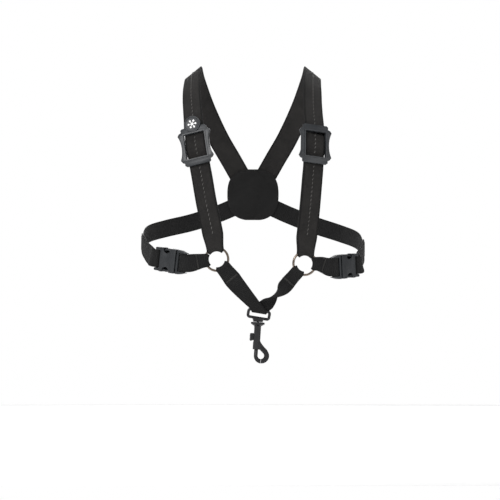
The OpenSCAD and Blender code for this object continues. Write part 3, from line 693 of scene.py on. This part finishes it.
def shoulder_strap(side):
    track, at = shoulder[side], SLIDER_AT[side]
    stations = shoulder_stations(side)
    lowest = min(range(len(stations)), key=lambda i: stations[i][0])
    enter = next(i for i, q in enumerate(stations) if q[0] < at + 20)
    leave = next(i for i, q in enumerate(stations) if q[0] < at - 20)
    back_in = next(i for i, q in enumerate(stations) if i > lowest and q[0] > at - 20)
    cuts = {"upper": (0, enter), "front_weave": (enter, leave), "lower": (leave, back_in),
            "back_weave": (back_in, len(stations) - 1)}
    made = {}
    for part, (i, j) in cuts.items():
        rows = [row(track, s, h, WIDE_W / 2, WIDE_PINCH) for s, h in stations[i:j + 1]]
        made[part] = webbing(f"{side}_shoulder_{part}", rows, WIDE_T, WIDE_W, wide_cloth)
        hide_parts(f"{side}_shoulder_strap")
    return made


def blend_piece(piece, track, start, end):
    """Bakes a piece's placement into its mesh; the piece joins no body and does not stretch."""
    track.spot(start) * MM
    track.spot(end) * MM
    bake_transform(piece)


for side in sides:
    strap, at, moving = shoulder_strap(side), SLIDER_AT[side], f"{side}_slider_part"
    for part in ("front_weave", "back_weave"):
        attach(strap[part], moving)
    blend_piece(strap["upper"], shoulder[side], at + BLEND_FAR, at + UPPER_NEAR)
    blend_piece(strap["lower"], shoulder[side], at - BLEND_FAR, at - LOWER_NEAR)

# %% [markdown]
# ## Side straps and rear straps
# A side strap is a short band: through the ring, through the buckle's plug, and sewn to itself. A
# rear strap goes round the socket's bar and doubles back, then follows the ribs to the back patch.
# The socket pulls off the plug, but the rear strap is attached to no body and stays where it is made.

# %% Side and rear straps
PLUG_BAR_R, SOCKET_BAR_R = 1.3, 1.5


def side_strap(side):
    track = side_track[side]
    end = track.run
    stations = ([(26, 1.0), (20, 1.0)] + ring_fold(NARROW_T, 270, 90)
                + [(18, 5.2), (22, 4.2), (24, 3.8), (end - 21, 3.8), (end - 17, 5.5), (end - 12.6, 7.1)]
                + arc((end - PLUG_BAR_AT, BUCKLE_MID), PLUG_BAR_R + GAP + NARROW_T / 2, 90, -90)
                + [(end - 13, 1.9), (end - 19, 1.3), (26.4, 1.0)])
    rows = [row(track, s, h, NARROW_W / 2, NARROW_PINCH) for s, h in finer(stations, 1.8)]
    return webbing(f"{side}_side_band", rows, NARROW_T, NARROW_W, narrow_cloth)


def rear_strap(side):
    track = rear_track[side]
    end = track.run
    stations = ([(mix(84, 22, i / 8), 2.9) for i in range(9)] + [(16, 3.4), (10, 5.0), (5, 6.8)]
                + arc((0, BUCKLE_MID), SOCKET_BAR_R + GAP + NARROW_T / 2, 90, 270)
                + [(5, 2.2), (12, 1.5), (20, 1.1)]
                + [(mix(22, end, i / 22), mix(1.1, 2.25, ease((i - 15.5) / 4))) for i in range(1, 23)])
    rows = [row(track, s, h, NARROW_W / 2) for s, h in finer(stations)]
    return webbing(f"{side}_rear_band", rows, NARROW_T, NARROW_W, narrow_cloth)


for side in sides:
    band = side_strap(side)
    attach(band, "harness")
    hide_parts(f"{side}_side_strap")
    band = rear_strap(side)
    blend_piece(band, rear_track[side], 66, 9)
    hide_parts(f"{side}_rear_strap")

# %% [markdown]
# ## The front strap
# One length of narrow webbing runs from the left ring down to the hook's eye, under its rod, and up
# behind to the right ring. It has turned over once on the way, so the right half shows a twist: its
# rows turn through half a circle along the stretch, and roll up a little where they stand on edge.
# Under the rod the webbing is a little narrower, so that the eye's rounded corners can swing past.

# %% The ends of the front strap
eye_lean = math.radians(9.4)
eye_x = Vector((math.cos(eye_lean), 0, -math.sin(eye_lean)))
eye_z = Vector((math.sin(eye_lean), 0, math.cos(eye_lean)))
EYE_MID, ROD_RISE, ROD_R = Vector((6.9, -114, -292.9)), 4.5, 1.7
rod = EYE_MID + eye_z * ROD_RISE
ROD_WRAP = ROD_R + GAP + 0.1 + NARROW_T / 2
UNDER_HALF, UNDER_FLARE, UNDER_SHIFT = 8.5, 1.3, 0.9
FRONT_PINCH = {"left": (0.86, 16), "right": (0.74, 40)}
front_way = {"left": ring_way(ring_foot["left"], 142), "right": ring_way(ring_foot["right"], -139)}
front_track = {s: Track(straight(ring_foot[s], front_way[s]), outward(ring_foot[s]),
                        outward(ring_foot[s])) for s in sides}


def middle(r):
    return (r[-1] + r[0]) / 2


def half_across(r):
    return (r[-1] - r[0]) / 2


def flat_row(p, across):
    return [p + across * mix(-1, 1, j / COLS) for j in range(COLS + 1)]


def ring_loop(side):
    stations = ([(32, 1.0), (26, 1.0), (20, 1.0)] + ring_fold(NARROW_T, 270, 90)
                + [(18, 5.2), (22, 4.0), (27, 3.3), (32, 3.2)])
    return [row(front_track[side], s, h, NARROW_W / 2, *FRONT_PINCH[side])
            for s, h in finer(stations, 1.8)]


def round_rod():
    rows = []
    for i in range(13):
        a = math.pi * i / 12
        way_out = Vector((0, 1, 0)) * math.cos(a) + eye_z * math.sin(a)
        p = rod - eye_x * (UNDER_SHIFT * math.cos(a)) - way_out * ROD_WRAP
        rows.append(flat_row(p, -eye_x * (UNDER_HALF + UNDER_FLARE * math.cos(a) ** 8)))
    return rows


left_loop, rod_rows = ring_loop("left"), round_rod()
right_in = [r[::-1] for r in ring_loop("right")[::-1]]
print("front strap, ring to rod:", round((middle(rod_rows[0]) - middle(left_loop[-1])).length), "mm")

# %% [markdown]
# ## The twist
# On the left the rows turn slowly from the ring's slant to the rod's. On the right they also turn
# over. A plain half turn would make the webbing look like a paper ribbon, so each row is also rolled
# to an arc, most of all about half way along.

# %% The two stretches of the front strap
LEAD_POWER, TWIST_FROM, CURL = 1.2, 0.18, 62


def down_front(start, end, n=30):
    a, b, wa, wb = middle(start), middle(end), half_across(start), half_across(end)
    d, rows = (b - a).length, []
    for f in (i / n for i in range(1, n)):
        rows.append(flat_row(hermite(a, front_way["left"] * d, b, b - a, f), wa.lerp(wb, f ** LEAD_POWER)))
    return rows


def curled_row(p, flat, up, c):
    """A row rolled to an arc of half angle c about its middle."""
    return [p + flat * (math.sin(c * k) / c) + up * (((1 + math.cos(c)) / 2 - math.cos(c * k)) / c)
            for k in (mix(-1, 1, j / COLS) for j in range(COLS + 1))]


def up_twisted(start, end, n=60):
    a, b, wa, wb = middle(start), middle(end), half_across(start), half_across(end)
    d, t = (b - a).length, (b - a).normalized()
    rows = []
    for i in range(1, n):
        f = i / n
        part = max(0.0, min(1.0, (f - TWIST_FROM) / (1 - TWIST_FROM)))
        turn = math.pi * (part + ease(part)) / 2
        flat = wa.lerp(-wb, ease(f / 0.34))
        up, c, s = t.cross(flat), math.cos(turn), math.sin(turn)
        curl = math.radians(1 + CURL * ease(f / 0.55) * ease((1 - f) / 0.45))
        rows.append(curled_row(hermite(a, b - a, b, front_way["right"] * -d, f),
                               flat * c + up * s, up * c - flat * s, curl))
    return rows


front_rows = (left_loop + down_front(left_loop[-1], rod_rows[0]) + rod_rows
              + up_twisted(rod_rows[-1], right_in[0]) + right_in)
front_band = webbing("front_band", front_rows, NARROW_T, NARROW_W, narrow_cloth)
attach(front_band, "harness")
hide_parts("front_strap")

# %% [markdown]
# ## The back patch
# Two layers of cloth hold the four strap ends between them. Each is a rounded square that follows
# the back, so its grid has shorter rows towards the top and bottom. The rows stop just short of the
# tips, where they would shrink to nothing.

# %% The back patch
SQUARENESS, PATCH_TIP, PATCH_UNDER_H, PATCH_OVER_H = 2.6, 0.985, 0.6, 4.3


def patch(name, h, node):
    rows, n = [], 20
    for i in range(-n, n + 1):
        v = PATCH_TIP * math.sin(math.radians(i * 90 / n))
        half = PATCH_HALF * (1 - abs(v) ** SQUARENESS) ** (1 / SQUARENESS)
        line = [back(mix(half, -half, j / n), PATCH_Z + v * PATCH_HALF) for j in range(n + 1)]
        rows.append([p + outward(p) * h for p in line])
    piece = webbing(name, rows, PATCH_T, 2 * PATCH_HALF, patch_cloth)
    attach(piece, "harness")
    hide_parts(node)
    print(name, "has", len(piece.data.polygons), "faces")


patch("back_patch_under", PATCH_UNDER_H, "back_patch_inner")
patch("back_patch_over", PATCH_OVER_H, "back_patch_outer")

# %% [markdown]
# ## Thread
# Sewing could be painted on, but its small shadows are what make it look sewn, so thread is modelled
# as thin tubes. A stitch rises from the cloth and dives back into it, so each line goes low, high,
# low. Where two layers end, a machine sews a tack: a close zigzag from edge to edge.

# %% Thread and tacks
TACK_R, ZIGZAGS = 0.24, 30


def thread(name, lines, radius, body="harness", replaces=None, finish=black_thread):
    """Thin tubes along lines of points, in millimetres. A blended piece has no body of its own."""
    data = bpy.data.curves.new(name, "CURVE")
    data.dimensions, data.bevel_depth, data.bevel_resolution = "3D", radius * MM, 1
    data.use_fill_caps = True
    for line in lines:
        spline = data.splines.new("POLY")
        spline.points.add(len(line) - 1)
        for point, p in zip(spline.points, line):
            point.co = (*(p * MM), 1)
    piece = bpy.data.objects.new(name, data)
    bpy.context.scene.collection.objects.link(piece)
    bpy.ops.object.select_all(action="DESELECT")
    piece.select_set(True)
    bpy.context.view_layer.objects.active = piece
    bpy.ops.object.convert(target="MESH")
    piece = bpy.context.object
    bpy.ops.object.shade_smooth()
    piece.data.materials.append(finish)
    if replaces:
        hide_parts(replaces)
    if body:
        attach(piece, body)
    return piece


def sewn(corners, up, rise=0.28, sink=0.12):
    """A line of stitches through the corners: low at each corner, high between them."""
    line = []
    for a, b in zip(corners, corners[1:]):
        n = up(a.lerp(b, 0.5))
        line += [a - up(a) * sink, a.lerp(b, 0.3) + n * rise, a.lerp(b, 0.7) + n * rise]
    return line + [corners[-1] - up(corners[-1]) * sink]


def bar_tack(name, track, s, h, half, long=3, body="harness", side_up=1, replaces=None):
    """A close zigzag across a strap; side_up is -1 for a tack on its underside."""
    corners = []
    for i in range(ZIGZAGS + 1):
        p, across, _, up = track.frame(s if i % 2 else s + long)
        corners.append(p + across * mix(-half, half, i / ZIGZAGS) + up * h)
    return thread(name, [sewn(corners, lambda q: up * side_up)], TACK_R, body, replaces)


top = NARROW_T / 2 + 0.05
for side in sides:
    bar_tack(f"{side}_side_sewing", side_track[side], 22.4, 4.0 + top, 8, long=2,
             replaces=f"{side}_side_tack")
    bar_tack(f"{side}_rear_sewing", rear_track[side], 76, 2.9 + top, 8.6,
             replaces=f"{side}_rear_tack")
    bar_tack(f"{side}_front_sewing", front_track[side], 28, 3.25 + top, 8.2,
             replaces=f"front_{side}_tack")
    bar_tack(f"{side}_slider_sewing", shoulder[side], SLIDER_AT[side] - 16, 1.1 - WIDE_T / 2 - 0.05, 9,
             body=f"{side}_slider_part", side_up=-1, replaces=f"{side}_slider_tack")

# %% [markdown]
# ## Stitches down the shoulder straps
# A dotted line of thread runs down the middle of each wide strap; its grey is painted highlight, for
# the glints the stitches catch. The stitches lean to and fro a little, because the needle never falls
# quite in line. They are laid on the strap's own rows, and cut into the same parts as the strap, so
# that they move with it.

# %% The stitches down the middle of each shoulder strap
STITCH_R, STITCH_LIFT, STITCH_LEAN, STITCH_PITCH = 0.26, 0.02, 0.5, 2.3


def top_line(side, low, high):
    """The strap's stations on its outer face, between two distances along the route."""
    stations = finer(shoulder_stations(side), 0.65)
    lowest = min(range(len(stations)), key=lambda i: stations[i][0])
    return [q for q in stations[:lowest] if low <= q[0] <= high]


def middle_stitches(side, part, low, high, body=None):
    """Short separate stitches down the middle of a strap's outer face, as one piece."""
    track, corners, travelled, flip, last = shoulder[side], [], 0.0, 1, None
    for s, h in top_line(side, low, high):
        p, across, _, up = track.frame(s)
        q = p + up * (h + WIDE_T / 2 + STITCH_LIFT)
        if last is not None:
            travelled += (q - last).length
        if last is None or travelled >= STITCH_PITCH:
            corners.append(q + across * (STITCH_LEAN * flip))
            flip, travelled = -flip, 0.0
        last = q
    pairs = list(zip(corners, corners[1:]))[::2]
    lines = [sewn(pair, outward, 0.3, 0.1) for pair in pairs]
    return thread(f"{side}_{part}_stitches", lines, STITCH_R, body, finish=painted_highlight_thread)


for side in sides:
    at, track, moving = SLIDER_AT[side], shoulder[side], f"{side}_slider_part"
    upper = middle_stitches(side, "upper", at + 25, track.run - 40)
    blend_piece(upper, track, at + BLEND_FAR, at + UPPER_NEAR)
    middle_stitches(side, "weave", at - 12, at + 12, moving)
    lower = middle_stitches(side, "lower", 30, at - 25)
    blend_piece(lower, track, at - BLEND_FAR, at - LOWER_NEAR)
    print(side, "stitches:", len(upper.data.vertices) + len(lower.data.vertices), "points")

# %% [markdown]
# ## Sewing on the back patch
# The patch carries the whole load, so it is sewn twice round its rim, and each of the four strap
# ends has a box of stitches. The boxes show where the straps lie under the cloth.

# %% Sewing on the back patch
PATCH_SEWN_H, PATCH_STITCH, PATCH_THREAD_R = PATCH_OVER_H + PATCH_T / 2 + 0.05, 2.6, 0.2
WIDE_BOX = ((7, -123.5), (24, -131), (17, -142), (3, -133), (7, -123.5))
NARROW_BOX = ((27, -158), (10, -152), (7, -168), (22, -171), (27, -158))


def patch_line(points):
    """A line of straight stitches on the back."""
    corners = []
    for (x0, z0), (x1, z1) in zip(points, points[1:]):
        n = max(1, round(math.hypot(x1 - x0, z1 - z0) / PATCH_STITCH))
        corners += [back(mix(x0, x1, i / n), mix(z0, z1, i / n)) for i in range(n)]
    corners.append(back(*points[-1]))
    return sewn([p + outward(p) * PATCH_SEWN_H for p in corners], outward, 0.2)


def rim_points(share, n=40):
    """The patch's outline, drawn in to a share of its size."""
    points = []
    for i in range(n + 1):
        a = 2 * math.pi * i / n
        c, s = math.cos(a), math.sin(a)
        r = PATCH_HALF * share / (abs(c) ** SQUARENESS + abs(s) ** SQUARENESS) ** (1 / SQUARENESS)
        points.append((r * c, PATCH_Z + r * s))
    return points


lines = [patch_line(rim_points(0.93)), patch_line(rim_points(0.86))]
for s in (-1, 1):
    lines += [patch_line([(s * x, z) for x, z in box]) for box in (WIDE_BOX, NARROW_BOX)]
thread("patch_sewing", lines, PATCH_THREAD_R)
print("patch sewn with", len(lines), "lines")

# %% [markdown]
# ## Plastic and metal pieces
# A moulded or cast edge is never knife-sharp: it catches a thin line of light. Each hard piece is a
# copy of its imported mesh, so that it fits its neighbours exactly. Its loose triangles are merged, and
# its sharp edges are bevelled. The rings and the spring are round wire and need no bevel. The spring
# is attached to no body, so it stays put when the thumb bolt slides.

# %% Rounding the edges of hard pieces
SAME_POINT, SAME_PLANE, SHARP = 2e-6, math.radians(0.6), math.radians(32)


def dressed(node, finish, width):
    """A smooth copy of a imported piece, with its sharp edges rounded by width in millimetres."""
    bpy.ops.object.select_all(action="DESELECT")
    piece = nodes[node].copy()
    piece.data = nodes[node].data.copy()
    piece.parent, piece.name = None, node + "_finished"
    piece.matrix_world = Matrix.Identity(4)
    bpy.context.scene.collection.objects.link(piece)
    piece.select_set(True)
    bpy.context.view_layer.objects.active = piece
    bpy.ops.mesh.customdata_custom_splitnormals_clear()
    bpy.ops.object.mode_set(mode="EDIT")
    bpy.ops.mesh.select_all(action="SELECT")
    bpy.ops.mesh.remove_doubles(threshold=SAME_POINT)
    bpy.ops.mesh.dissolve_limited(angle_limit=SAME_PLANE)
    bpy.ops.object.mode_set(mode="OBJECT")
    if width:
        edge = piece.modifiers.new("rounded_edges", "BEVEL")
        edge.width, edge.segments, edge.limit_method = width * MM, 2, "ANGLE"
        edge.angle_limit, edge.use_clamp_overlap = SHARP, True
        bpy.ops.object.modifier_apply(modifier=edge.name)
    bpy.ops.object.shade_smooth_by_angle(angle=SHARP)
    piece.data.materials.clear()
    piece.data.materials.append(finish)
    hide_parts(node)
    return piece


def squeezed(piece):
    """Bakes the spring's placement into its mesh; it is attached to no body."""
    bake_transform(piece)


# The bevel of each hard piece, in millimetres
hard = {"left_slider": 0.5, "right_slider": 0.5, "left_badge": 0.35, "left_badge_motif": 0.08,
        "left_ring": 0, "right_ring": 0}
for side in sides:
    hard |= {f"{side}_buckle_plug": 0.35, f"{side}_buckle_socket": 0.4,
             f"{side}_latch_upper": 0.25, f"{side}_latch_lower": 0.25}
hard |= {"hook_eye": 0.3, "swivel_pin": 0.15, "hook_body": 0.3, "thumb_bolt": 0.2, "bolt_spring": 0}
finish_of = {"slider_plastic": slider_plastic, "buckle_plastic": buckle_plastic, "motif": motif_paint,
             "ring_steel": ring_steel, "hook_metal": hook_metal, "pin_steel": pin_steel}
slot_of = {s["node"]: s["material_slot"] for s in frame["record"]["subparts"]}
for node, width in hard.items():
    piece = dressed(node, finish_of[slot_of[node]], width)
    if node == "bolt_spring":
        squeezed(piece)
    else:
        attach(piece, body_of[node])
print("hard pieces:", len(hard))

# %% [markdown]
# ## The raised rim of a slider
# The window of a slider has a raised rim that stiffens it. A plane is inset to a frame and its
# middle is removed. It is subdivided, so that it can follow the slider's arched face, and then
# thickened and bevelled.

# %% Slider rims
RIM_W, RIM_H, RIM_BROAD, RIM_T, RIM_ROUND = 29.6, 34.8, 1.7, 0.75, 0.3
SLIDER_HALF, FACE_H, FACE_ARCH = 24, 9.1, 1.2


def slider_rim(side):
    bpy.ops.object.select_all(action="DESELECT")
    bpy.ops.mesh.primitive_plane_add(size=1)
    rim = bpy.context.object
    rim.name = f"{side}_slider_rim"
    rim.scale = (RIM_W * MM, RIM_H * MM, 1)
    bpy.ops.object.transform_apply(scale=True)
    bpy.ops.object.mode_set(mode="EDIT")
    bpy.ops.mesh.inset(thickness=RIM_BROAD * MM)
    bpy.ops.mesh.delete(type="FACE")
    bpy.ops.mesh.select_all(action="SELECT")
    bpy.ops.mesh.subdivide(number_cuts=11)
    bpy.ops.object.mode_set(mode="OBJECT")
    for v in rim.data.vertices:
        v.co.z = (FACE_H + FACE_ARCH * (1 - (v.co.y / (SLIDER_HALF * MM)) ** 2)) * MM
    wall = rim.modifiers.new("wall", "SOLIDIFY")
    wall.thickness, wall.offset = RIM_T * MM, 1
    bpy.ops.object.modifier_apply(modifier=wall.name)
    edge = rim.modifiers.new("soft_edge", "BEVEL")
    edge.width, edge.segments, edge.limit_method = RIM_ROUND * MM, 2, "ANGLE"
    bpy.ops.object.modifier_apply(modifier=edge.name)
    bpy.ops.object.shade_smooth_by_angle(angle=math.radians(35))
    p, across, along, up = shoulder[side].frame(SLIDER_AT[side])
    place = Matrix((across, along, up)).transposed().to_4x4()
    place.translation = p * MM
    rim.data.transform(place)
    rim.data.materials.append(slider_plastic)
    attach(rim, f"{side}_slider_part")
    return rim


for side in sides:
    print(slider_rim(side).name)
